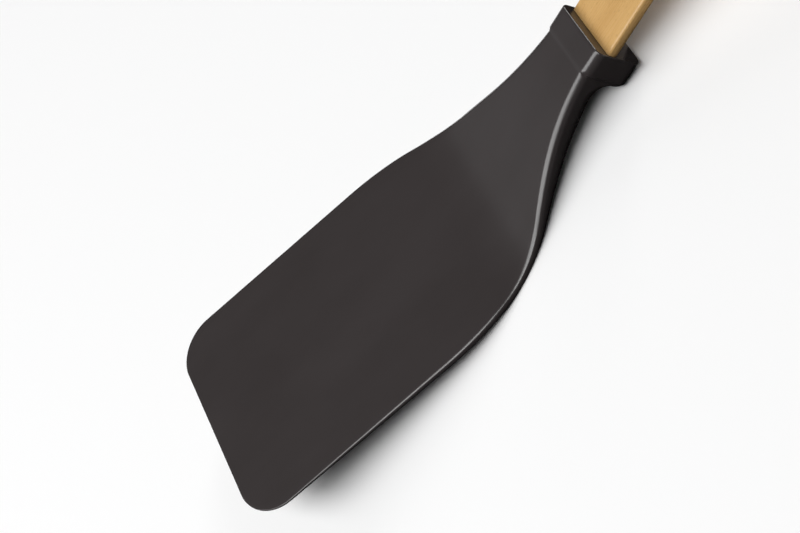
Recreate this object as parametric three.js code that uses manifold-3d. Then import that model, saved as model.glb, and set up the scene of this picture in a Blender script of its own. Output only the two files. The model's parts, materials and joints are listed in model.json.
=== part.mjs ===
// Angled kitchen spatula: a nylon blade on a bent neck, with a wooden slat handle glued into its collar.
// Millimetres. The tool is drawn with its handle along X, the blade towards +X and the food side up, +Z,
// with the collar's rim at x = 0 and its front face at z = 0. It is then tipped until the rest foot and
// the heel of the bend both touch the surface that the tool lies on.

import * as THREE from 'three';
import { mergeVertices } from 'three/addons/utils/BufferGeometryUtils.js';
import Module from 'manifold-3d';

const wasm = await Module();
wasm.setup();

// Handle: a slat with softly rounded edges and a round butt
const HANDLE_LENGTH = 165;
const HANDLE_WIDTH = 22.8;
const HANDLE_THICKNESS = 5;
const HANDLE_FRONT_ROUND = 1;
const HANDLE_BACK_ROUND = 3.5;
const BUTT_ROUND = 9;
const BUTT_EDGE_ROUND = 1;
const HANG_HOLE_DIAMETER = 8;
const HANG_HOLE_INSET = 14;

// Tenon and its glue
const TENON_SHOULDER = 3.2;
const TENON_CHEEK = 1.1;
const TENON_ROUND = 1;
const GLUE_FILM = 0.3;
const FACE_GAP = 0.3;
const SOCKET_BACK_WALL = 1.1;

// Collar with the rest foot behind it
const COLLAR_LENGTH = 7.7;
const COLLAR_FRONT_LEDGE = 4.2;
const COLLAR_SIDE_LEDGE = 1.1;
const FOOT_DEPTH = 7.9;
const FOOT_EDGE_ROUND = 1.4;
const FOOT_DRAFT = 0.7;
const COLLAR_FRONT_ROUND = 2.6;
const COLLAR_BACK_ROUND = 4.2;
const RIM_ROUND = 0.4;
const COVE_RADIUS = 8;

// Crease where the neck leaves the collar
const CREASE_SIDE_STEP = 0.87;
const CREASE_FRONT_STEP = 0.1;
const CREASE_LENGTH = 1.2;

// Side view: straight out of the collar, swept back, then bent forward into the flat blade
const NECK_STRAIGHT = 6.5;
const SWEEP_RADIUS = 208;
const SWEEP_ANGLE = THREE.MathUtils.degToRad(10);
const BEND_RADIUS = 40.3;
const BLADE_ANGLE = THREE.MathUtils.degToRad(21.8);
const BLADE_LENGTH = 101.3;

// Plan: the neck flares to the shoulders, then the sides run nearly straight to the leading edge
const BLADE_WIDTH = 79.6;
const SIDE_TAPER = THREE.MathUtils.degToRad(0.32);
const FLARE_ANGLE = THREE.MathUtils.degToRad(6);
const FLARE_REACH = 38.6;
const FLARE_LENGTH = 90.7;
const SHOULDER_REACH = 44.2;
const BLADE_CORNER_RADIUS = 14;

// Thickness and edge rounding along the head
const NECK_THICKNESS = 9;
const BLADE_THICKNESS = 2;
const LIP_THICKNESS = 0.5;
const NECK_TAPER_LENGTH = 52;
const LIP_TAPER_LENGTH = 88;
const NECK_FRONT_ROUND = 2.3;
const NECK_BACK_ROUND = 5.1;
const BLADE_FRONT_ROUND = 1.42;
const LIP_FRONT_ROUND = 0.25;
const BLADE_BACK_ROUND = 0.7;
const FRONT_SHARE_OF_THICKNESS = 0.75;
const ROUNDS_SHARE_OF_THICKNESS = 0.95;

// Steps along each curved stretch
const CORNER_STEPS = 4;
const ROUND_STEPS = 3;
const CREASE_STEPS = 5;
const COVE_STEPS = 8;
const FLARE_STEPS = 30;
const BLADE_STEPS = 6;
const BLADE_CORNER_STEPS = 10;
const BUTT_STEPS = 8;
const HOLE_STEPS = 32;
const REST_STEPS = 8;
const HALVINGS = 40;

// Sizes that follow from the ones above
const seatClearance = FACE_GAP + GLUE_FILM + FACE_GAP;
const collarWidth = HANDLE_WIDTH + 2 * COLLAR_SIDE_LEDGE;
const collarDepth = COLLAR_FRONT_LEDGE + HANDLE_THICKNESS + FOOT_DEPTH;
const footWidth = collarWidth - 2 * FOOT_DRAFT;
const neckWidth = collarWidth - 2 * CREASE_SIDE_STEP;
const handleFrontZ = -COLLAR_FRONT_LEDGE;
const tenonWidth = HANDLE_WIDTH - 2 * TENON_SHOULDER;
const tenonThickness = HANDLE_THICKNESS - 2 * TENON_CHEEK;
const tenonFrontZ = handleFrontZ - TENON_CHEEK;
const coveStart = COLLAR_LENGTH + FOOT_EDGE_ROUND;
const coveRadius = Math.min(COVE_RADIUS, collarDepth - FOOT_EDGE_ROUND - NECK_THICKNESS);
const coveEnd = coveStart + coveRadius;
const sweepStart = COLLAR_LENGTH + NECK_STRAIGHT;
const bendStart = sweepStart + SWEEP_RADIUS * SWEEP_ANGLE;
const bendEnd = bendStart + BEND_RADIUS * (SWEEP_ANGLE + BLADE_ANGLE);
const bladeEnd = bendEnd + BLADE_LENGTH;
const lipStart = bladeEnd - LIP_TAPER_LENGTH;
const flareEnd = COLLAR_LENGTH + FLARE_LENGTH;
const bladeCornerStart = bladeEnd - BLADE_CORNER_RADIUS * (1 + Math.sin(SIDE_TAPER));

// The socket runs as deep as the wall behind it, in the cove, allows
const socketBack = COLLAR_FRONT_LEDGE + HANDLE_THICKNESS - TENON_CHEEK + seatClearance;
const coveDrop = THREE.MathUtils.clamp(socketBack + SOCKET_BACK_WALL - NECK_THICKNESS, 0, coveRadius);
const socketDepth = coveEnd - Math.sqrt(coveRadius ** 2 - (coveRadius - coveDrop) ** 2);
const tenonLength = socketDepth - seatClearance;

function ease(from, to, value) {
  return THREE.MathUtils.smoothstep(value, from, to);
}

// A point of the front face's centre line, with the slope there, s millimetres from the rim
function frontLine(s) {
  const swept = THREE.MathUtils.clamp(s, sweepStart, bendStart) - sweepStart;
  const bent = THREE.MathUtils.clamp(s, bendStart, bendEnd) - bendStart;
  const sweep = swept / SWEEP_RADIUS;
  const bend = bent / BEND_RADIUS;
  const flat = Math.max(s - bendEnd, 0);
  const slope = bend - sweep;
  const x = Math.min(s, sweepStart) + SWEEP_RADIUS * Math.sin(sweep)
    + BEND_RADIUS * (Math.sin(slope) + Math.sin(sweep)) + flat * Math.cos(slope);
  const z = SWEEP_RADIUS * (Math.cos(sweep) - 1)
    + BEND_RADIUS * (Math.cos(sweep) - Math.cos(slope)) + flat * Math.sin(slope);
  return { x, z, slope };
}

// Half the blade's width along its straight sides
function sideHalfWidth(s) {
  return BLADE_WIDTH / 2 - (bladeEnd - s) * Math.tan(SIDE_TAPER);
}

// How far the neck has thinned to the blade, and the blade to its lip, from 0 to 1
function thinned(s) {
  return ease(coveEnd, coveEnd + NECK_TAPER_LENGTH, s);
}

function lipped(s) {
  return Math.max(s - lipStart, 0) / LIP_TAPER_LENGTH;
}

function headThickness(s) {
  const neck = THREE.MathUtils.lerp(NECK_THICKNESS, BLADE_THICKNESS, thinned(s));
  return THREE.MathUtils.lerp(neck, LIP_THICKNESS, lipped(s));
}

// The radius of the head's front edges, where the thickness leaves room for it
function headFrontRound(s) {
  const neck = THREE.MathUtils.lerp(NECK_FRONT_ROUND, BLADE_FRONT_ROUND, ease(coveEnd, lipStart, s));
  const round = THREE.MathUtils.lerp(neck, LIP_FRONT_ROUND, lipped(s));
  return Math.min(round, FRONT_SHARE_OF_THICKNESS * headThickness(s));
}

// How far the crease has drawn the outline in: 0 on the collar and 1 on the neck
function creased(s) {
  return 1 - (1 - THREE.MathUtils.clamp((s - COLLAR_LENGTH) / CREASE_LENGTH, 0, 1)) ** 2;
}

// How far the cove stands out behind the neck
function coveHeight(s) {
  const along = THREE.MathUtils.clamp(coveEnd - s, 0, coveRadius);
  return coveRadius - Math.sqrt(coveRadius ** 2 - along ** 2);
}

// One station of the head below the crease: its section and where it stands
function headStation(s, halfWidth, behind = 0) {
  const thickness = headThickness(s);
  const coved = behind / coveRadius;
  const frontRound = headFrontRound(s);
  const backRound = THREE.MathUtils.lerp(NECK_BACK_ROUND, BLADE_BACK_ROUND, thinned(s));
  const backRoom = ROUNDS_SHARE_OF_THICKNESS * thickness - frontRound + behind;
  return {
    ...frontLine(s),
    halfWidth,
    backHalfWidth: THREE.MathUtils.lerp(halfWidth, Math.max(halfWidth, footWidth / 2), coved),
    front: -CREASE_FRONT_STEP * creased(s) * (1 - thinned(s)),
    back: -thickness - behind,
    frontRound,
    backRound: Math.min(THREE.MathUtils.lerp(backRound, COLLAR_BACK_ROUND, coved), backRoom),
  };
}

function collarStation(s, inset) {
  return {
    ...frontLine(s),
    halfWidth: collarWidth / 2 - inset,
    backHalfWidth: collarWidth / 2 - inset,
    front: -inset,
    back: -collarDepth + inset,
    frontRound: COLLAR_FRONT_ROUND - inset,
    backRound: COLLAR_BACK_ROUND - inset,
  };
}

// The crease, with the rounded lower edge of the foot behind it, from its back face to its underside
function footStation(angle) {
  const s = COLLAR_LENGTH + FOOT_EDGE_ROUND * Math.sin(angle);
  return {
    ...frontLine(s),
    halfWidth: neckHalfWidth(s),
    backHalfWidth: THREE.MathUtils.lerp(collarWidth / 2, footWidth / 2, Math.sin(angle)),
    front: -CREASE_FRONT_STEP * creased(s),
    back: -collarDepth + FOOT_EDGE_ROUND * (1 - Math.cos(angle)),
    frontRound: THREE.MathUtils.lerp(COLLAR_FRONT_ROUND, NECK_FRONT_ROUND, creased(s)),
    backRound: COLLAR_BACK_ROUND,
  };
}

// Plan of the flare as a curve of (distance from the rim, half width)
const flareFrom = new THREE.Vector2(COLLAR_LENGTH, neckWidth / 2);
const flareTo = new THREE.Vector2(flareEnd, sideHalfWidth(flareEnd));
const flareOut = new THREE.Vector2(Math.cos(FLARE_ANGLE), Math.sin(FLARE_ANGLE));
const flareIn = new THREE.Vector2(Math.cos(SIDE_TAPER), Math.sin(SIDE_TAPER));
const flare = new THREE.CubicBezierCurve(
  flareFrom,
  flareFrom.clone().addScaledVector(flareOut, FLARE_REACH),
  flareTo.clone().addScaledVector(flareIn, -SHOULDER_REACH),
  flareTo,
);

// The flare's half width at a distance from the rim, by halving
function flareHalfWidth(s) {
  let low = 0;
  let high = 1;
  for (let i = 0; i < HALVINGS; i += 1) {
    const middle = (low + high) / 2;
    if (flare.getPoint(middle).x < s) {
      low = middle;
    } else {
      high = middle;
    }
  }
  return flare.getPoint(low).y;
}

// Half the head's width from the collar's lower edge to the end of the flare
function neckHalfWidth(s) {
  return THREE.MathUtils.lerp(collarWidth / 2, flareHalfWidth(s), creased(s));
}

function headStations() {
  const stations = [];
  for (let i = 0; i <= ROUND_STEPS; i += 1) {
    const angle = (i / ROUND_STEPS) * Math.PI / 2;
    const inset = RIM_ROUND * (1 - Math.sin(angle));
    stations.push(collarStation(RIM_ROUND * (1 - Math.cos(angle)), inset));
  }
  stations.push(collarStation(COLLAR_LENGTH, 0));
  for (let i = 1; i <= CREASE_STEPS; i += 1) {
    stations.push(footStation((i / CREASE_STEPS) * Math.PI / 2));
  }
  for (let i = 1; i < COVE_STEPS; i += 1) {
    const angle = (i / COVE_STEPS) * Math.PI / 2;
    const s = coveStart + coveRadius * (1 - Math.cos(angle));
    stations.push(headStation(s, neckHalfWidth(s), coveHeight(s)));
  }
  for (let i = 0; i <= FLARE_STEPS; i += 1) {
    const s = THREE.MathUtils.lerp(coveEnd, flareEnd, i / FLARE_STEPS);
    stations.push(headStation(s, neckHalfWidth(s)));
  }
  for (let i = 1; i <= BLADE_STEPS; i += 1) {
    const s = THREE.MathUtils.lerp(flareEnd, bladeCornerStart, i / BLADE_STEPS);
    stations.push(headStation(s, sideHalfWidth(s)));
  }
  const cornerS = bladeEnd - BLADE_CORNER_RADIUS;
  const cornerY = sideHalfWidth(cornerS) - BLADE_CORNER_RADIUS / Math.cos(SIDE_TAPER);
  for (let i = 1; i <= BLADE_CORNER_STEPS; i += 1) {
    const angle = THREE.MathUtils.lerp(-SIDE_TAPER, Math.PI / 2, i / BLADE_CORNER_STEPS);
    const s = cornerS + BLADE_CORNER_RADIUS * Math.sin(angle);
    stations.push(headStation(s, cornerY + BLADE_CORNER_RADIUS * Math.cos(angle)));
  }
  return stations;
}

// A station's outline as points in space, all the way round: flat faces with rounded corners
function ring(station) {
  const { halfWidth, backHalfWidth, front, back, frontRound, backRound } = station;
  const corners = [
    [halfWidth - frontRound, front - frontRound, frontRound],
    [frontRound - halfWidth, front - frontRound, frontRound],
    [backRound - backHalfWidth, back + backRound, backRound],
    [backHalfWidth - backRound, back + backRound, backRound],
  ];
  const points = [];
  corners.forEach(([y, z, radius], quarter) => {
    for (let i = 0; i <= CORNER_STEPS; i += 1) {
      const angle = (quarter + i / CORNER_STEPS) * Math.PI / 2;
      const across = y + radius * Math.cos(angle);
      const out = z + radius * Math.sin(angle);
      points.push(new THREE.Vector3(
        station.x - out * Math.sin(station.slope),
        across,
        station.z + out * Math.cos(station.slope),
      ));
    }
  });
  return points;
}

// A closed solid through a row of stations that runs towards +X
function loft(stations) {
  const rings = stations.map(ring);
  const count = rings[0].length;
  const positions = [];
  const index = [];
  rings.flat().forEach((point) => positions.push(point.x, point.y, point.z));
  for (let i = 0; i + 1 < rings.length; i += 1) {
    for (let j = 0; j < count; j += 1) {
      const a = i * count + j;
      const b = i * count + (j + 1) % count;
      index.push(a, b, a + count, b, b + count, a + count);
    }
  }
  const last = (rings.length - 1) * count;
  for (let j = 1; j + 1 < count; j += 1) {
    index.push(0, j + 1, j);
    index.push(last, last + j, last + j + 1);
  }
  const geometry = new THREE.BufferGeometry();
  geometry.setAttribute('position', new THREE.Float32BufferAttribute(positions, 3));
  geometry.setIndex(index);
  return geometry;
}

function toSolid(geometry) {
  geometry.deleteAttribute('normal');
  geometry.deleteAttribute('uv');
  const merged = mergeVertices(geometry);
  return new wasm.Manifold(new wasm.Mesh({
    numProp: 3,
    vertProperties: new Float32Array(merged.attributes.position.array),
    triVerts: new Uint32Array(merged.index.array),
  }));
}

function toGeometry(solid) {
  const mesh = solid.getMesh();
  const geometry = new THREE.BufferGeometry();
  geometry.setAttribute('position', new THREE.BufferAttribute(mesh.vertProperties, 3));
  geometry.setIndex(new THREE.BufferAttribute(mesh.triVerts, 1));
  geometry.computeVertexNormals();
  return geometry;
}

// A straight bar along X with the tenon's section grown by a margin all round
function tenonBar(fromX, toX, margin) {
  const section = {
    halfWidth: tenonWidth / 2 + margin,
    backHalfWidth: tenonWidth / 2 + margin,
    front: tenonFrontZ + margin,
    back: tenonFrontZ - tenonThickness - margin,
    frontRound: TENON_ROUND + margin,
    backRound: TENON_ROUND + margin,
    z: 0,
    slope: 0,
  };
  return loft([{ ...section, x: fromX }, { ...section, x: toX }]);
}

function spatulaHead() {
  const socket = tenonBar(-RIM_ROUND, socketDepth, seatClearance);
  return toGeometry(toSolid(loft(headStations())).subtract(toSolid(socket)));
}

// The slat narrows and thins along a circle at the butt, and is square at the shoulder
function handleStation(x, narrowing, thinning) {
  return {
    x,
    z: handleFrontZ,
    slope: 0,
    halfWidth: HANDLE_WIDTH / 2 - narrowing,
    backHalfWidth: HANDLE_WIDTH / 2 - narrowing,
    front: -thinning,
    back: -HANDLE_THICKNESS + thinning,
    frontRound: HANDLE_FRONT_ROUND,
    backRound: HANDLE_BACK_ROUND,
  };
}

function handle() {
  const buttX = -FACE_GAP - HANDLE_LENGTH;
  const stations = [];
  for (let i = 0; i <= BUTT_STEPS; i += 1) {
    const angle = (i / BUTT_STEPS) * Math.PI / 2;
    const x = buttX + BUTT_ROUND * (1 - Math.cos(angle));
    const edge = Math.max(BUTT_EDGE_ROUND - (x - buttX), 0);
    const thinning = BUTT_EDGE_ROUND - Math.sqrt(BUTT_EDGE_ROUND ** 2 - edge ** 2);
    const share = HANDLE_THICKNESS - HANDLE_FRONT_ROUND - HANDLE_BACK_ROUND;
    stations.push(handleStation(x, BUTT_ROUND * (1 - Math.sin(angle)), Math.min(thinning, share / 2)));
  }
  stations.push(handleStation(-FACE_GAP, 0, 0));
  const slat = toSolid(loft(stations));
  const tenon = toSolid(tenonBar(-FACE_GAP - TENON_SHOULDER, tenonLength, 0));
  const hole = new THREE.CylinderGeometry(HANG_HOLE_DIAMETER / 2, HANG_HOLE_DIAMETER / 2,
    3 * HANDLE_THICKNESS, HOLE_STEPS);
  hole.rotateX(Math.PI / 2);
  hole.translate(buttX + HANG_HOLE_INSET, 0, handleFrontZ - HANDLE_THICKNESS / 2);
  return toGeometry(slat.add(tenon).subtract(toSolid(hole)));
}

// A thin cup of cured glue round the tenon, open towards the handle
function socketAdhesive() {
  const outer = toSolid(tenonBar(FACE_GAP, tenonLength + FACE_GAP + GLUE_FILM, FACE_GAP + GLUE_FILM));
  const inner = toSolid(tenonBar(0, tenonLength + FACE_GAP, FACE_GAP));
  return toGeometry(outer.subtract(inner));
}

function piece(name, geometry, color, roughness) {
  const mesh = new THREE.Mesh(geometry, new THREE.MeshStandardMaterial({ color, roughness, metalness: 0 }));
  mesh.name = name;
  return mesh;
}

// The tilt at which a straight edge under the tool touches both the foot and the heel of the bend
function restTilt() {
  const below = headStations().map(({ x, z, slope, back }) => new THREE.Vector2(
    x - back * Math.sin(slope),
    z + back * Math.cos(slope),
  ));
  const foot = below.filter((point) => point.x <= coveStart);
  const heel = below.filter((point) => point.x > coveEnd);
  let tilt = 0;
  for (let i = 0; i < REST_STEPS; i += 1) {
    const height = (point) => point.y * Math.cos(tilt) - point.x * Math.sin(tilt);
    const lowest = foot.reduce((a, b) => (height(b) < height(a) ? b : a));
    tilt = Math.min(...heel.map((point) => Math.atan2(point.y - lowest.y, point.x - lowest.x)));
  }
  return tilt;
}

const tool = new THREE.Group();
tool.add(
  piece('spatula_head', spatulaHead(), 0x3b3736, 0.5),
  piece('handle', handle(), 0xd2aa6e, 0.6),
  piece('socket_adhesive', socketAdhesive(), 0xd8cfae, 0.4),
);
tool.rotation.y = restTilt();

// Stand the tipped tool on z = 0, with the middle of its box over the origin
const box = new THREE.Box3().setFromObject(tool, true);
const middle = box.getCenter(new THREE.Vector3());
tool.position.set(-middle.x, -middle.y, -box.min.z);

const spatula = new THREE.Group();
spatula.add(tool);

export default spatula;
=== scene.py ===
"""Angled kitchen spatula: a dark nylon blade on a bent neck, with a pale wooden slat glued into its collar.

Metres, in the part's own frame: +X from the handle to the blade, +Z up, resting on z = 0. The two pieces
are drawn in the tool's frame, where the handle lies along X, the collar's rim is at x = 0 and its front
face at z = 0. The rest foot, which the record places, then says how the tool is tipped and where it lies.
"""

import json
import math
from dataclasses import dataclass

import bmesh
import bpy
from mathutils import Euler, Matrix, Quaternion, Vector


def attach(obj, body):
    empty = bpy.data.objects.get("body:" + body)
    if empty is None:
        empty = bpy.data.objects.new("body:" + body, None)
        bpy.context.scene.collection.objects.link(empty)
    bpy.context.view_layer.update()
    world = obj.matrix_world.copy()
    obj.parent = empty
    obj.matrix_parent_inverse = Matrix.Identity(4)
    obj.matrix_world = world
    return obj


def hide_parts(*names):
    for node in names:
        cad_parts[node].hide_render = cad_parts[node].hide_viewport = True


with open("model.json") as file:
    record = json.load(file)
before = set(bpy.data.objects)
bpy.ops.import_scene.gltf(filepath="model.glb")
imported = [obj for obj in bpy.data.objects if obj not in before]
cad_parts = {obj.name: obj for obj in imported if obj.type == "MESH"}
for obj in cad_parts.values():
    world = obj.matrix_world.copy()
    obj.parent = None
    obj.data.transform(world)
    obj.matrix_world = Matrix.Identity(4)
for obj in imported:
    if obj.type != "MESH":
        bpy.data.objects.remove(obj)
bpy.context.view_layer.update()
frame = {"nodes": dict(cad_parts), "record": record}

MM = 0.001

# Handle: a slat with softly rounded edges, a round butt and a hanging hole
HANDLE_LENGTH = 165.3 * MM
HANDLE_WIDTH = 22.8 * MM
HANDLE_THICKNESS = 5 * MM
HANDLE_FRONT_ROUND = 0.8 * MM
HANDLE_BACK_ROUND = 3.5 * MM
BUTT_ROUND = 9 * MM
BUTT_EDGE_ROUND = 1.1 * MM
SHOULDER_ROUND = 0.05 * MM
HANG_HOLE_RADIUS = 4 * MM
HANG_HOLE_INSET = 14.3 * MM
HANG_HOLE_ROUND = 0.7 * MM

# Tenon and socket
TENON_WIDTH = 16.4 * MM
TENON_THICKNESS = 2.8 * MM
TENON_FRONT = -5.3 * MM
TENON_LENGTH = 11.222 * MM
TENON_ROUND = 1 * MM
SEAT_CLEARANCE = 0.9 * MM
SEAT_GAP = 0.02 * MM

# Collar with the rest foot behind it
COLLAR_WIDTH = 25 * MM
COLLAR_LENGTH = 7.7 * MM
COLLAR_FRONT_LEDGE = 4.2 * MM
FOOT_DEPTH = 7.9 * MM
FOOT_EDGE_ROUND = 1.4 * MM
FOOT_DRAFT = 0.7 * MM
FOOT_MOUNT_X = 3.9 * MM
COLLAR_FRONT_ROUND = 2.6 * MM
COLLAR_BACK_ROUND = 4.2 * MM
RIM_ROUND = 0.4 * MM
LEDGE_DIP = 0.25 * MM
COVE_RADIUS = 8 * MM

# Crease where the neck leaves the collar
CREASE_SIDE_STEP = 0.87 * MM
CREASE_FRONT_STEP = 0.1 * MM
CREASE_LENGTH = 1.2 * MM

# Side view: straight out of the collar, swept back, then bent forward into the flat blade
NECK_STRAIGHT = 6.5 * MM
SWEEP_RADIUS = 208 * MM
SWEEP_ANGLE = math.radians(10)
BEND_RADIUS = 40.3 * MM
BLADE_ANGLE = math.radians(21.8)
BLADE_LENGTH = 101.3 * MM

# Plan: the neck flares to the shoulders, then the sides run nearly straight to the leading edge
BLADE_WIDTH = 79.6 * MM
SIDE_TAPER = math.radians(0.32)
FLARE_ANGLE = math.radians(6)
FLARE_REACH = 38.6 * MM
FLARE_LENGTH = 90.7 * MM
SHOULDER_REACH = 44.2 * MM
BLADE_CORNER_RADIUS = 14 * MM

# Thickness and edge rounding along the head
NECK_THICKNESS = 9 * MM
BLADE_THICKNESS = 2 * MM
LIP_THICKNESS = 0.5 * MM
LIP_ROUND = 0.23 * MM
NECK_TAPER_LENGTH = 52 * MM
LIP_TAPER_LENGTH = 88 * MM
NECK_FRONT_ROUND = 2.3 * MM
NECK_BACK_ROUND = 5.1 * MM
BLADE_FRONT_ROUND = 1.42 * MM
LIP_FRONT_ROUND = 0.25 * MM
BLADE_BACK_ROUND = 0.7 * MM
FRONT_SHARE_OF_THICKNESS = 0.75
ROUNDS_SHARE_OF_THICKNESS = 0.95

# Mesh steps
CORNER_STEPS = 10
FACE_STEPS = 27
SIDE_STEPS = 4
ROUND_STEPS = 6
COLLAR_STEPS = 8
COVE_STEPS = 20
FLARE_STEPS = 120
BLADE_STEPS = 60
BLADE_CORNER_STEPS = 28
HALVINGS = 40
HOLE_CELL = 1.3 * MM
HOLE_MARGIN_CELLS = 8
HOLE_RINGS = 3
SLAT_STEPS = 60
SHARP_ANGLE = math.radians(50)

# Sizes that follow from the ones above
collar_depth = COLLAR_FRONT_LEDGE + HANDLE_THICKNESS + FOOT_DEPTH
neck_half = COLLAR_WIDTH / 2 - CREASE_SIDE_STEP
foot_half = COLLAR_WIDTH / 2 - FOOT_DRAFT
cove_start = COLLAR_LENGTH + FOOT_EDGE_ROUND
cove_radius = min(COVE_RADIUS, collar_depth - FOOT_EDGE_ROUND - NECK_THICKNESS)
cove_end = cove_start + cove_radius
taper_end = cove_end + NECK_TAPER_LENGTH
sweep_start = COLLAR_LENGTH + NECK_STRAIGHT
bend_start = sweep_start + SWEEP_RADIUS * SWEEP_ANGLE
bend_end = bend_start + BEND_RADIUS * (SWEEP_ANGLE + BLADE_ANGLE)
blade_end = bend_end + BLADE_LENGTH
lip_start = blade_end - LIP_TAPER_LENGTH
flare_end = COLLAR_LENGTH + FLARE_LENGTH
corner_start = blade_end - BLADE_CORNER_RADIUS * (1 + math.sin(SIDE_TAPER))


def clamp(value, low, high):
    return min(max(value, low), high)


def mix(a, b, share):
    return a + (b - a) * share


def ease(low, high, value):
    share = clamp((value - low) / (high - low), 0, 1)
    return share * share * (3 - 2 * share)


@dataclass
class Section:
    """A cross-section: where it stands, how it leans, and the rounded outline that it has there."""

    x: float
    z: float
    slope: float
    half: float
    back_half: float
    front: float
    back: float
    front_round: float
    back_round: float

    def point(self, across, out):
        """A point of the section, across the tool and out from its front line."""
        return Vector((
            self.x - out * math.sin(self.slope),
            across,
            self.z + out * math.cos(self.slope),
        ))

    def ring(self):
        """The outline's points, from the right side over the front, the left and the back."""
        front_y, front_z = self.half - self.front_round, self.front - self.front_round
        back_y, back_z = self.back_half - self.back_round, self.back + self.back_round
        corners = (
            (front_y, front_z, self.front_round),
            (-front_y, front_z, self.front_round),
            (-back_y, back_z, self.back_round),
            (back_y, back_z, self.back_round),
        )
        arcs = []
        for quarter, (across, out, radius) in enumerate(corners):
            angles = [(quarter + i / CORNER_STEPS) * math.pi / 2 for i in range(CORNER_STEPS + 1)]
            arcs.append([(across + radius * math.cos(a), out + radius * math.sin(a)) for a in angles])
        points = []
        for quarter, arc in enumerate(arcs):
            points += arc
            stretch_steps = FACE_STEPS if quarter % 2 == 0 else SIDE_STEPS
            points += between(arc[-1], arcs[(quarter + 1) % len(arcs)][0], stretch_steps)
        return [self.point(across, out) for across, out in points]


def between(start, end, count):
    """Points inside a straight stretch."""
    shares = [(i + 1) / (count + 1) for i in range(count)]
    return [(mix(start[0], end[0], share), mix(start[1], end[1], share)) for share in shares]


def ring_index(quarter, step):
    """Where a ring holds a step of the stretch that follows one of its corners."""
    corners = (quarter + 1) * (CORNER_STEPS + 1)
    return corners + (quarter + 1) // 2 * FACE_STEPS + quarter // 2 * SIDE_STEPS + step


def loft(sections):
    """A closed mesh through sections that follow each other, with a cap of quads on each end."""
    mesh = bmesh.new()
    rings = [[mesh.verts.new(point) for point in section.ring()] for section in sections]
    count = len(rings[0])
    for near, far in zip(rings, rings[1:]):
        for i in range(count):
            j = (i + 1) % count
            mesh.faces.new((near[i], near[j], far[j], far[i]))
    front_count = 2 * (CORNER_STEPS + 1) + FACE_STEPS
    for ring, facing in ((rings[0], -1), (rings[-1], 1)):
        opposite = [ring[count - SIDE_STEPS - 1 - i] for i in range(front_count)]
        caps = [(ring[i], ring[i + 1], opposite[i + 1], opposite[i]) for i in range(front_count - 1)]
        caps.append((ring[0], opposite[0], *ring[count - SIDE_STEPS:]))
        caps.append((opposite[-1], ring[front_count - 1], *ring[front_count:front_count + SIDE_STEPS]))
        for cap in caps:
            mesh.faces.new(cap if facing > 0 else cap[::-1])
    return mesh, rings


def lay_down(mesh, name):
    """Turns a mesh into an object of the scene."""
    data = bpy.data.meshes.new(name)
    mesh.to_mesh(data)
    mesh.free()
    piece = bpy.data.objects.new(name, data)
    bpy.context.scene.collection.objects.link(piece)
    return piece


def to_object(mesh, name):
    """Puts a mesh where the tool lies, as an object that is smooth but for its sharp edges."""
    mesh.normal_update()
    for face in mesh.faces:
        face.smooth = True
    for edge in mesh.edges:
        edge.smooth = edge.calc_face_angle(0) < SHARP_ANGLE
    mesh.transform(tool_place)
    return lay_down(mesh, name)


# The head

def front_line(s):
    """Where the front face's centre line is, and its slope, at a distance from the rim."""
    sweep = (clamp(s, sweep_start, bend_start) - sweep_start) / SWEEP_RADIUS
    slope = (clamp(s, bend_start, bend_end) - bend_start) / BEND_RADIUS - sweep
    flat = max(s - bend_end, 0)
    x = min(s, sweep_start) + SWEEP_RADIUS * math.sin(sweep)
    x += BEND_RADIUS * (math.sin(slope) + math.sin(sweep)) + flat * math.cos(slope)
    z = SWEEP_RADIUS * (math.cos(sweep) - 1)
    z += BEND_RADIUS * (math.cos(sweep) - math.cos(slope)) + flat * math.sin(slope)
    return x, z, slope


def side_half(s):
    """Half the blade's width along its straight sides."""
    return BLADE_WIDTH / 2 - (blade_end - s) * math.tan(SIDE_TAPER)


def flare_point(t):
    """The flare's plan as a curve of (distance from the rim, half width)."""
    start = Vector((COLLAR_LENGTH, neck_half))
    end = Vector((flare_end, side_half(flare_end)))
    out = start + FLARE_REACH * Vector((math.cos(FLARE_ANGLE), math.sin(FLARE_ANGLE)))
    back = end - SHOULDER_REACH * Vector((math.cos(SIDE_TAPER), math.sin(SIDE_TAPER)))
    u = 1 - t
    return u ** 3 * start + 3 * u * u * t * out + 3 * u * t * t * back + t ** 3 * end


def creased(s):
    """How far the crease has drawn the outline in: 0 on the collar and 1 on the neck."""
    ahead = 1 - clamp((s - COLLAR_LENGTH) / CREASE_LENGTH, 0, 1)
    return 1 - ahead * ahead


def half_width(s):
    """Half the head's width below the collar, up to the round corners of the blade."""
    if s >= flare_end:
        return side_half(s)
    low, high = 0, 1
    for _ in range(HALVINGS):
        middle = (low + high) / 2
        if flare_point(middle).x < s:
            low = middle
        else:
            high = middle
    return mix(COLLAR_WIDTH / 2, flare_point(low).y, creased(s))


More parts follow.
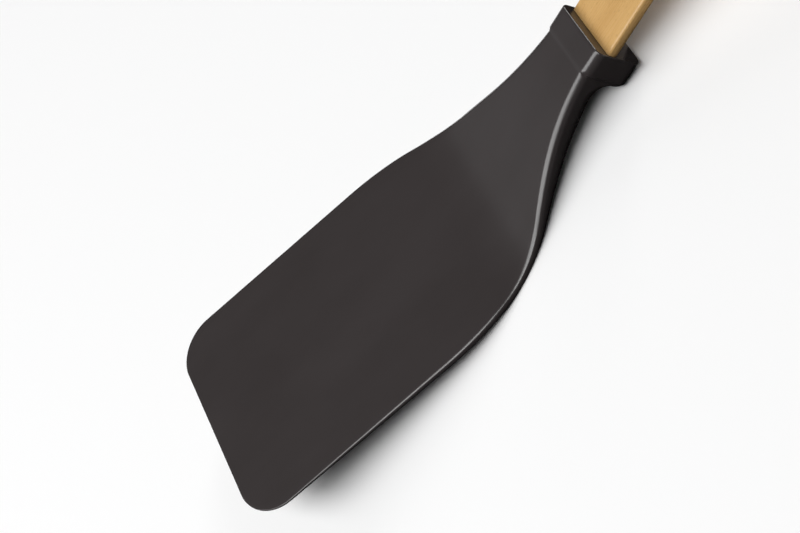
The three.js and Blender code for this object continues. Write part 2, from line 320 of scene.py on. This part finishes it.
def head_section(s, half, behind=0, inset=0):
    """A section of the neck or blade, with the cove's height behind it, drawn in by an inset at the lip."""
    thinning = ease(cove_end, taper_end, s)
    lip = max(s - lip_start, 0) / LIP_TAPER_LENGTH
    thickness = mix(mix(NECK_THICKNESS, BLADE_THICKNESS, thinning), LIP_THICKNESS, lip)
    coved = behind / cove_radius
    front_round = mix(NECK_FRONT_ROUND, BLADE_FRONT_ROUND, ease(cove_end, lip_start, s))
    front_round = mix(front_round, LIP_FRONT_ROUND, lip)
    front_round = min(front_round, FRONT_SHARE_OF_THICKNESS * thickness)
    back_round = mix(mix(NECK_BACK_ROUND, BLADE_BACK_ROUND, thinning), COLLAR_BACK_ROUND, coved)
    back_round = min(back_round, ROUNDS_SHARE_OF_THICKNESS * thickness - front_round + behind)
    kept = 1 - 2 * inset / thickness
    return Section(
        *front_line(s),
        half=half,
        back_half=mix(half, max(half, foot_half), coved),
        front=-CREASE_FRONT_STEP * creased(s) * (1 - thinning) - inset,
        back=-thickness - behind + inset,
        front_round=front_round * kept,
        back_round=back_round * kept,
    )


def collar_section(s, inset=0):
    """A section of the collar, drawn in by an inset at its rounded rim."""
    return Section(
        *front_line(s),
        half=COLLAR_WIDTH / 2 - inset,
        back_half=COLLAR_WIDTH / 2 - inset,
        front=-inset,
        back=inset - collar_depth,
        front_round=COLLAR_FRONT_ROUND - inset,
        back_round=COLLAR_BACK_ROUND - inset,
    )


def foot_section(angle):
    """A section through the crease and the foot's rounded lower edge, which turns through an angle."""
    s = COLLAR_LENGTH + FOOT_EDGE_ROUND * math.sin(angle)
    return Section(
        *front_line(s),
        half=half_width(s),
        back_half=mix(COLLAR_WIDTH / 2, foot_half, math.sin(angle)),
        front=-CREASE_FRONT_STEP * creased(s),
        back=FOOT_EDGE_ROUND * (1 - math.cos(angle)) - collar_depth,
        front_round=mix(COLLAR_FRONT_ROUND, NECK_FRONT_ROUND, creased(s)),
        back_round=COLLAR_BACK_ROUND,
    )


def tenon_section(x, margin):
    """A section of the tenon, or of the socket that is wider by a margin."""
    return Section(
        x=x,
        z=0,
        slope=0,
        half=TENON_WIDTH / 2 + margin,
        back_half=TENON_WIDTH / 2 + margin,
        front=TENON_FRONT + margin,
        back=TENON_FRONT - TENON_THICKNESS - margin,
        front_round=TENON_ROUND + margin,
        back_round=TENON_ROUND + margin,
    )


def steps(count, first=0):
    """Even shares from 0 to 1, from a first step on."""
    return [i / count for i in range(first, count + 1)]


def head_sections():
    socket_depth = TENON_LENGTH + SEAT_CLEARANCE
    sections = [
        tenon_section(socket_depth, SEAT_CLEARANCE),
        tenon_section(LEDGE_DIP, SEAT_CLEARANCE),
        slat_section(HANDLE_LENGTH + LEDGE_DIP, -SEAT_GAP),
    ]
    for share in steps(ROUND_STEPS):
        angle = share * math.pi / 2
        rim_s = RIM_ROUND * (1 - math.cos(angle))
        sections.append(collar_section(rim_s, RIM_ROUND * (1 - math.sin(angle))))
    for share in steps(COLLAR_STEPS, 1):
        sections.append(collar_section(mix(RIM_ROUND, COLLAR_LENGTH, share)))
    for share in steps(2 * ROUND_STEPS, 1):
        sections.append(foot_section(share * math.pi / 2))
    for share in steps(COVE_STEPS, 1):
        angle = share * math.pi / 2
        s = cove_start + cove_radius * (1 - math.cos(angle))
        sections.append(head_section(s, half_width(s), cove_radius * (1 - math.sin(angle))))
    for share in steps(FLARE_STEPS, 1):
        s = mix(cove_end, flare_end, share)
        sections.append(head_section(s, half_width(s)))
    for share in steps(BLADE_STEPS, 1):
        s = mix(flare_end, corner_start, share)
        sections.append(head_section(s, half_width(s)))
    corner_s = blade_end - BLADE_CORNER_RADIUS
    corner_y = side_half(corner_s) - BLADE_CORNER_RADIUS / math.cos(SIDE_TAPER)
    lip_angle = math.asin(1 - LIP_ROUND / BLADE_CORNER_RADIUS)
    for share in steps(BLADE_CORNER_STEPS, 1):
        angle = mix(-SIDE_TAPER, lip_angle, share)
        s = corner_s + BLADE_CORNER_RADIUS * math.sin(angle)
        sections.append(head_section(s, corner_y + BLADE_CORNER_RADIUS * math.cos(angle)))
    for share in steps(ROUND_STEPS, 1):
        inset = LIP_ROUND * (1 - math.cos(share * math.pi / 2))
        s = blade_end - LIP_ROUND * (1 - math.sin(share * math.pi / 2))
        angle = math.asin(clamp((s - corner_s) / BLADE_CORNER_RADIUS, 0, 1))
        sections.append(head_section(s, corner_y + BLADE_CORNER_RADIUS * math.cos(angle), inset=inset))
    return sections


def make_head():
    mesh, _ = loft(head_sections())
    head = to_object(mesh, "nylon_head")
    head.data.materials.append(nylon_material())
    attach(head, "root")
    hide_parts("spatula_head")


# The handle

def slat_section(distance, inset=0):
    """A section of the slat at a distance from its butt, where it narrows and thins along circles."""
    corner = max(BUTT_ROUND - distance, 0)
    narrowing = BUTT_ROUND - math.sqrt(BUTT_ROUND ** 2 - corner ** 2)
    edge = max(BUTT_EDGE_ROUND - distance, 0)
    thinning = BUTT_EDGE_ROUND - math.sqrt(BUTT_EDGE_ROUND ** 2 - edge ** 2) + inset
    kept = 1 - 2 * thinning / HANDLE_THICKNESS
    return Section(
        x=distance - HANDLE_LENGTH,
        z=-COLLAR_FRONT_LEDGE,
        slope=0,
        half=HANDLE_WIDTH / 2 - narrowing - inset,
        back_half=HANDLE_WIDTH / 2 - narrowing - inset,
        front=-thinning,
        back=thinning - HANDLE_THICKNESS,
        front_round=HANDLE_FRONT_ROUND * kept,
        back_round=HANDLE_BACK_ROUND * kept,
    )


def handle_sections():
    hole_reach = HOLE_MARGIN_CELLS * HOLE_CELL
    patch_start = HANG_HOLE_INSET - hole_reach
    patch_end = HANG_HOLE_INSET + hole_reach
    shoulder_x = LEDGE_DIP - SEAT_GAP
    shoulder = HANDLE_LENGTH + shoulder_x
    sections = []
    for share in steps(COLLAR_STEPS):
        sections.append(slat_section(BUTT_EDGE_ROUND * (1 - math.cos(share * math.pi / 2))))
    for share in steps(ROUND_STEPS, 1):
        sections.append(slat_section(mix(BUTT_EDGE_ROUND, patch_start, share)))
    first_row = len(sections) - 1
    for share in steps(2 * HOLE_MARGIN_CELLS, 1):
        sections.append(slat_section(mix(patch_start, patch_end, share)))
    for share in steps(SLAT_STEPS, 1):
        sections.append(slat_section(mix(patch_end, shoulder - SHOULDER_ROUND, share)))
    for share in steps(ROUND_STEPS, 1):
        angle = share * math.pi / 2
        distance = shoulder - SHOULDER_ROUND * (1 - math.sin(angle))
        sections.append(slat_section(distance, SHOULDER_ROUND * (1 - math.cos(angle))))
    sections += [tenon_section(shoulder_x, 0), tenon_section(TENON_LENGTH, 0)]
    return sections, first_row


def patch_loop(rings, first_row, quarter):
    """The points round the square of faces that the hole takes the place of, on the front or the back."""
    last_row = first_row + 2 * HOLE_MARGIN_CELLS
    middle = (FACE_STEPS - 1) // 2
    first = ring_index(quarter, middle - HOLE_MARGIN_CELLS)
    last = ring_index(quarter, middle + HOLE_MARGIN_CELLS)
    columns = range(first, last + 1)
    rows = range(first_row, last_row + 1)
    loop = [rings[row][first] for row in rows]
    loop += [rings[last_row][column] for column in columns[1:]]
    loop += [rings[row][last] for row in reversed(rows[:-1])]
    loop += [rings[first_row][column] for column in reversed(columns[1:-1])]
    inside = [rings[row][column] for row in rows[1:-1] for column in columns[1:-1]]
    return loop, inside


def bore_hang_hole(mesh, rings, first_row):
    """Opens the slat's two faces and joins them through a round hole with rounded edges."""
    front_loop, front_inside = patch_loop(rings, first_row, 0)
    back_loop, back_inside = patch_loop(rings, first_row, 2)
    side = 2 * HOLE_MARGIN_CELLS
    back_loop = [back_loop[(3 * side - i) % len(back_loop)] for i in range(len(back_loop))]
    bmesh.ops.delete(mesh, geom=front_inside + back_inside, context="VERTS")
    centre_x = HANG_HOLE_INSET - HANDLE_LENGTH
    middle_z = -COLLAR_FRONT_LEDGE - HANDLE_THICKNESS / 2
    wide = HANG_HOLE_RADIUS + HANG_HOLE_ROUND
    profile = []
    for share in steps(ROUND_STEPS):
        angle = share * math.pi / 2
        depth = HANDLE_THICKNESS / 2 - HANG_HOLE_ROUND * (1 - math.cos(angle))
        profile.append((wide - HANG_HOLE_ROUND * math.sin(angle), depth))
    directions = [Vector((vert.co.x - centre_x, vert.co.y)).normalized() for vert in front_loop]

    def circle(radius, height):
        return [Vector((centre_x + d.x * radius, d.y * radius, middle_z + height)) for d in directions]

    def flat_rings(loop, height):
        pairs = list(zip(loop, circle(wide, height)))
        shares = [i / HOLE_RINGS for i in range(1, HOLE_RINGS)]
        return [[vert.co.lerp(end, share) for vert, end in pairs] for share in shares]

    front_rings = flat_rings(front_loop, HANDLE_THICKNESS / 2)
    back_rings = flat_rings(back_loop, -HANDLE_THICKNESS / 2)
    walls = [circle(radius, height) for radius, height in profile]
    walls += [circle(radius, -height) for radius, height in reversed(profile)]
    loops = [front_loop]
    for points in front_rings + walls + back_rings[::-1]:
        loops.append([mesh.verts.new(point) for point in points])
    loops.append(back_loop)
    count = len(front_loop)
    for near, far in zip(loops, loops[1:]):
        for i in range(count):
            j = (i + 1) % count
            mesh.faces.new((near[i], near[j], far[j], far[i]))


def make_handle():
    sections, first_row = handle_sections()
    mesh, rings = loft(sections)
    bore_hang_hole(mesh, rings, first_row)
    bmesh.ops.recalc_face_normals(mesh, faces=mesh.faces)
    handle = to_object(mesh, "wooden_handle")
    handle.data.materials.append(wood_material())
    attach(handle, "root")
    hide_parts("handle")


# Materials: colours, pattern sizes in millimetres, and the spans that the patterns are drawn from
MIDDLE_SPAN = (0.3, 0.7)
FULL_SHARE = (0, 1)

NYLON_DARK = (0.0392, 0.0334, 0.0333)
NYLON_PALE = (0.0440, 0.0376, 0.0377)
NYLON_PATCH_SIZE = (56, 22, 22)
NYLON_GRAIN_SIZE = (0.4, 0.4, 0.4)
NYLON_GRAIN_DEPTH = 0.01 * MM
NYLON_GRAIN_STRENGTH = 0.25
NYLON_ROUGHNESS = (0.23, 0.27)
NYLON_IOR = 1.58

WOOD_PALE = (0.71, 0.443, 0.177)
WOOD_DEEP = (0.614, 0.363, 0.132)
WOOD_FLECK = (0.39, 0.212, 0.071)
BAND_SIZE = (200, 9, 6)
BLOTCH_SIZE = (6, 2.2, 2.2)
BLOTCH_SPAN = (0.42, 0.72)
BLOTCH_SHARE = (0, 0.55)
FIBRE_SIZE = (14, 0.42, 0.42)
FIBRE_SPAN = (0.35, 0.75)
FIBRE_SHARE = (0, 0.4)
FIBRE_HARSHNESS = 0.6
FIBRE_DEPTH = 0.03 * MM
FIBRE_STRENGTH = 0.3
FLECK_SIZE = (1.3, 0.42, 0.42)
FLECK_SPAN = (0.62, 0.74)
FLECK_SHARE = (0, 0.45)
WOOD_ROUGHNESS = (0.24, 0.32)

GLUE_DEEP = (0.62, 0.50, 0.26)
GLUE_PALE = (0.72, 0.62, 0.40)
GLUE_CLOUD_SIZE = (4, 4, 4)
GLUE_ROUGHNESS = (0.18, 0.28)


def new_material(name):
    material = bpy.data.materials.new(name)
    material.use_nodes = True
    nodes = material.node_tree.nodes
    return material, nodes, material.node_tree.links, nodes["Principled BSDF"]


def noise_node(nodes, links, size, detail, harshness=0.5):
    """Noise in the tool's frame, with features of a size along X, Y and Z."""
    place = nodes.new("ShaderNodeTexCoord")
    mapping = nodes.new("ShaderNodeMapping")
    mapping.vector_type = "TEXTURE"
    mapping.inputs["Location"].default_value = tool_place.to_translation()
    mapping.inputs["Rotation"].default_value = tool_place.to_euler()
    mapping.inputs["Scale"].default_value = [length * MM for length in size]
    noise = nodes.new("ShaderNodeTexNoise")
    noise.inputs["Scale"].default_value = 1.0
    noise.inputs["Detail"].default_value = detail
    noise.inputs["Roughness"].default_value = harshness
    links.new(place.outputs["Object"], mapping.inputs["Vector"])
    links.new(mapping.outputs["Vector"], noise.inputs["Vector"])
    return noise.outputs["Fac"]


def range_node(nodes, links, value, span, to):
    """A value carried from one span over to another."""
    ramp = nodes.new("ShaderNodeMapRange")
    for name, number in zip(("From Min", "From Max", "To Min", "To Max"), (*span, *to)):
        ramp.inputs[name].default_value = number
    links.new(value, ramp.inputs["Value"])
    return ramp.outputs["Result"]


def mix_colour(nodes, links, share, first, second):
    """A colour between two others, each a constant or a socket."""
    blend = nodes.new("ShaderNodeMix")
    blend.data_type = "RGBA"
    for name, colour in (("A", first), ("B", second)):
        socket = next(s for s in blend.inputs if s.name == name and s.type == "RGBA")
        if isinstance(colour, bpy.types.NodeSocket):
            links.new(colour, socket)
        else:
            socket.default_value = (*colour, 1)
    links.new(share, blend.inputs["Factor"])
    return next(s for s in blend.outputs if s.type == "RGBA")


def bump_node(nodes, links, height, distance, strength):
    bump = nodes.new("ShaderNodeBump")
    bump.inputs["Distance"].default_value = distance
    bump.inputs["Strength"].default_value = strength
    links.new(height, bump.inputs["Height"])
    return bump.outputs["Normal"]


def nylon_material():
    """Satin moulded nylon: dark charcoal, with a very fine grain and faint patches in its sheen."""
    material, nodes, links, shader = new_material("satin_nylon")
    patches = noise_node(nodes, links, NYLON_PATCH_SIZE, detail=4)
    grain = noise_node(nodes, links, NYLON_GRAIN_SIZE, detail=1)
    patch_share = range_node(nodes, links, patches, MIDDLE_SPAN, FULL_SHARE)
    colour = mix_colour(nodes, links, patch_share, NYLON_DARK, NYLON_PALE)
    links.new(colour, shader.inputs["Base Color"])
    links.new(range_node(nodes, links, patches, MIDDLE_SPAN, NYLON_ROUGHNESS), shader.inputs["Roughness"])
    bump = bump_node(nodes, links, grain, NYLON_GRAIN_DEPTH, NYLON_GRAIN_STRENGTH)
    links.new(bump, shader.inputs["Normal"])
    shader.inputs["IOR"].default_value = NYLON_IOR
    return material


def wood_material():
    """Smooth oiled pale wood: soft growth bands, blotches, fine fibres and short darker flecks."""
    material, nodes, links, shader = new_material("oiled_wood")
    bands = noise_node(nodes, links, BAND_SIZE, detail=3)
    blotches = noise_node(nodes, links, BLOTCH_SIZE, detail=3)
    fibres = noise_node(nodes, links, FIBRE_SIZE, detail=3, harshness=FIBRE_HARSHNESS)
    flecks = noise_node(nodes, links, FLECK_SIZE, detail=1)
    band_share = range_node(nodes, links, bands, MIDDLE_SPAN, FULL_SHARE)
    colour = mix_colour(nodes, links, band_share, WOOD_PALE, WOOD_DEEP)
    blotch_share = range_node(nodes, links, blotches, BLOTCH_SPAN, BLOTCH_SHARE)
    colour = mix_colour(nodes, links, blotch_share, colour, WOOD_DEEP)
    fibre_share = range_node(nodes, links, fibres, FIBRE_SPAN, FIBRE_SHARE)
    colour = mix_colour(nodes, links, fibre_share, colour, WOOD_DEEP)
    fleck_share = range_node(nodes, links, flecks, FLECK_SPAN, FLECK_SHARE)
    colour = mix_colour(nodes, links, fleck_share, colour, WOOD_FLECK)
    links.new(colour, shader.inputs["Base Color"])
    links.new(range_node(nodes, links, fibres, MIDDLE_SPAN, WOOD_ROUGHNESS), shader.inputs["Roughness"])
    links.new(bump_node(nodes, links, fibres, FIBRE_DEPTH, FIBRE_STRENGTH), shader.inputs["Normal"])
    return material


def adhesive_material():
    """Cured amber glue with a few small clouds in it."""
    material, nodes, links, shader = new_material("cured_glue")
    clouds = noise_node(nodes, links, GLUE_CLOUD_SIZE, detail=2)
    links.new(mix_colour(nodes, links, clouds, GLUE_DEEP, GLUE_PALE), shader.inputs["Base Color"])
    links.new(range_node(nodes, links, clouds, MIDDLE_SPAN, GLUE_ROUGHNESS), shader.inputs["Roughness"])
    return material


# Stage: a pale floor and a dim world
FLOOR_SIZE = 8.0
FLOOR_SEGMENTS = 4
FLOOR_COLOUR = (0.95, 0.95, 0.95)
FLOOR_ROUGHNESS = 0.9
WORLD_COLOUR = (0.02, 0.02, 0.02)

# Softboxes: name, direction from the tool, direction of the long side, half sizes per metre away, radiance
LIGHT_CENTRE = Vector((0.03, 0.0, 0.02))
LIGHT_DISTANCE = 2.0
SOFTBOXES = (
    ("overhead", (0.355, 0.12, 0.93), (-0.647, 0.728, 0.228), 0.86, 0.24, 4.9),
    ("left_strip", (-0.624, -0.75, 0.221), (0.0, 0.0, 1.0), 0.41, 0.10, 7.1),
    ("right_top", (0.05, 0.54, 0.84), (1.0, 0.0, 0.0), 0.25, 0.20, 2.0),
    ("left_glow", (0.66, -0.66, 0.35), (0.0, 0.0, 1.0), 0.28, 0.20, 0.18),
)

# Black cards just over the floor, which keep its light off the tool's sides: name and two corners
FLAG_HEIGHT = 0.3 * MM
FLAG_COLOUR = (0.01, 0.01, 0.01)
FLAG_ROUGHNESS = 1.0
FLAGS = (
    ("right_flag", (-0.03, 0.0015), (0.35, 0.6)),
    ("left_flag", (-0.12, -0.15), (-0.005, -0.016)),
)


def matte_material(name, colour, roughness):
    material, nodes, links, shader = new_material(name)
    shader.inputs["Base Color"].default_value = (*colour, 1)
    shader.inputs["Roughness"].default_value = roughness
    shader.inputs["Specular IOR Level"].default_value = 0.0
    return material, nodes, links, shader


def make_floor():
    mesh = bmesh.new()
    bmesh.ops.create_grid(mesh, x_segments=FLOOR_SEGMENTS, y_segments=FLOOR_SEGMENTS, size=FLOOR_SIZE / 2)
    floor = lay_down(mesh, "floor")
    floor.data.materials.append(matte_material("pale_floor", FLOOR_COLOUR, FLOOR_ROUGHNESS)[0])


def add_softbox(name, towards, along, half_length, half_width, radiance):
    lamp = bpy.data.lights.new(name, "AREA")
    lamp.shape = "RECTANGLE"
    lamp.size = 2 * half_length * LIGHT_DISTANCE
    lamp.size_y = 2 * half_width * LIGHT_DISTANCE
    lamp.energy = radiance * math.pi * lamp.size * lamp.size_y
    z = Vector(towards).normalized()
    y = z.cross(Vector(along)).normalized()
    x = y.cross(z)
    box = bpy.data.objects.new(name, lamp)
    turn = Matrix((x, y, z)).transposed().to_4x4()
    box.matrix_world = Matrix.Translation(LIGHT_CENTRE + z * LIGHT_DISTANCE) @ turn
    bpy.context.scene.collection.objects.link(box)


def card_material():
    """Black on a card's upper side and clear from below."""
    material, nodes, links, shader = matte_material("black_card", FLAG_COLOUR, FLAG_ROUGHNESS)
    side = nodes.new("ShaderNodeNewGeometry")
    clear = nodes.new("ShaderNodeBsdfTransparent")
    blend = nodes.new("ShaderNodeMixShader")
    links.new(side.outputs["Backfacing"], blend.inputs["Fac"])
    links.new(shader.outputs["BSDF"], blend.inputs[1])
    links.new(clear.outputs["BSDF"], blend.inputs[2])
    links.new(blend.outputs["Shader"], nodes["Material Output"].inputs["Surface"])
    return material


def add_flag(name, low, high, material):
    mesh = bmesh.new()
    corners = (low[0], low[1]), (high[0], low[1]), (high[0], high[1]), (low[0], high[1])
    mesh.faces.new([mesh.verts.new((x, y, FLAG_HEIGHT)) for x, y in corners])
    flag = lay_down(mesh, name)
    flag.visible_camera = False
    flag.visible_shadow = False
    flag.data.materials.append(material)


def make_lights():
    for softbox in SOFTBOXES:
        add_softbox(*softbox)
    card = card_material()
    for flag in FLAGS:
        add_flag(*flag, card)
    world = bpy.data.worlds.new("studio")
    world.use_nodes = True
    world.node_tree.nodes["Background"].inputs["Color"].default_value = (*WORLD_COLOUR, 1)
    bpy.context.scene.world = world


# Camera: the photograph's, 800 by 533 pixels
CAMERA_AT = Vector((-0.12017, 0.39771, 0.41362))
CAMERA_AIM = Vector((0.08227, 0.01126, 0.01977))
CAMERA_ROLL = math.radians(67.57)
CAMERA_LENS = 90.81
CAMERA_NEAR = 0.01
SENSOR_WIDTH = 36.0


def make_camera():
    data = bpy.data.cameras.new("camera")
    data.sensor_fit = "HORIZONTAL"
    data.sensor_width = SENSOR_WIDTH
    data.lens = CAMERA_LENS
    data.clip_start = CAMERA_NEAR
    camera = bpy.data.objects.new("camera", data)
    upright = (CAMERA_AIM - CAMERA_AT).to_track_quat("-Z", "Y")
    camera.rotation_euler = (upright @ Quaternion((0, 0, 1), -CAMERA_ROLL)).to_euler()
    camera.location = CAMERA_AT
    bpy.context.scene.collection.objects.link(camera)
    bpy.context.scene.camera = camera


# Where the tool lies, from the rest foot that the record places
rest_foot = next(mount for mount in frame["record"]["mounts"] if mount["name"] == "rest_foot")
axis = Vector(rest_foot["axis"])
tool_turn = Euler((0, math.atan2(-axis.x, -axis.z), 0)).to_matrix().to_4x4()
foot_point = Vector((FOOT_MOUNT_X, 0, -collar_depth))
tool_place = Matrix.Translation(Vector(rest_foot["pos_m"]) - tool_turn @ foot_point) @ tool_turn

bpy.context.scene.view_settings.view_transform = "Standard"
make_camera()
make_head()
make_handle()
frame["nodes"]["socket_adhesive"].data.materials.clear()
frame["nodes"]["socket_adhesive"].data.materials.append(adhesive_material())
make_floor()
make_lights()
